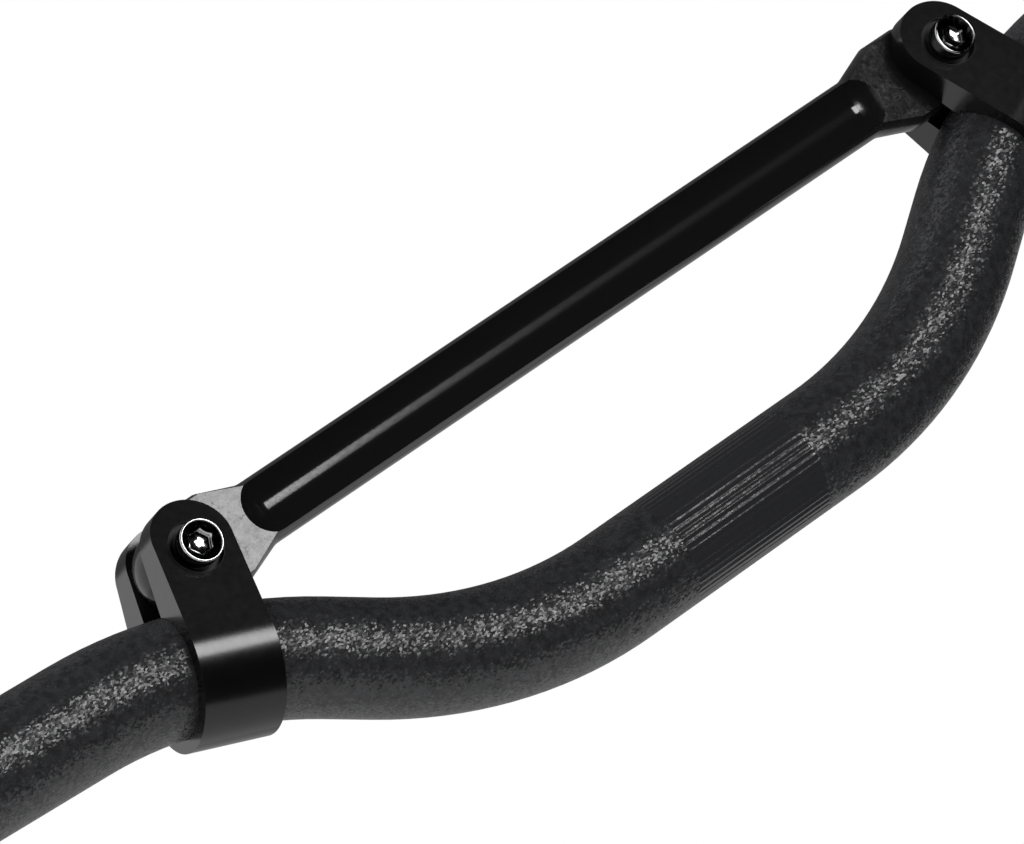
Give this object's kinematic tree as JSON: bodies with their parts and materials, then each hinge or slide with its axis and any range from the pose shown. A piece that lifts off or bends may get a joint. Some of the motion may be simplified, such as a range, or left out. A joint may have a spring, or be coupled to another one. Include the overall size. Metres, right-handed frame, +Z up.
{
  "type": "bicycle riser handlebar with bolted crossbar",
  "caption": "Bent riser handlebar tube for downhill riding, braced by a fluted crossbar bolted between split clamps on its shoulders.",
  "frame": {"origin": "middle of the stem clamping zone, on the tube's axis", "axes": "+X along the bar towards the end seen on the right of the picture, +Z up along the rise, -Y the side that the screw heads face"},
  "size_m": [0.7812, 0.0283, 0.0717],
  "materials": {
    "bar_coat": "textured black coat on aluminium, faintly sparkling",
    "clamp_black": "satin black anodised",
    "brace_black": "gloss black anodised, with milled flats",
    "screw_steel": "bright plated"
  },
  "bodies": {
    "root": {"riser_bar": "bar_coat", "crossbar": "brace_black", "clamp_left": "clamp_black", "clamp_right": "clamp_black", "screw_left": "screw_steel", "screw_right": "screw_steel"}
  },
  "joints": []
}
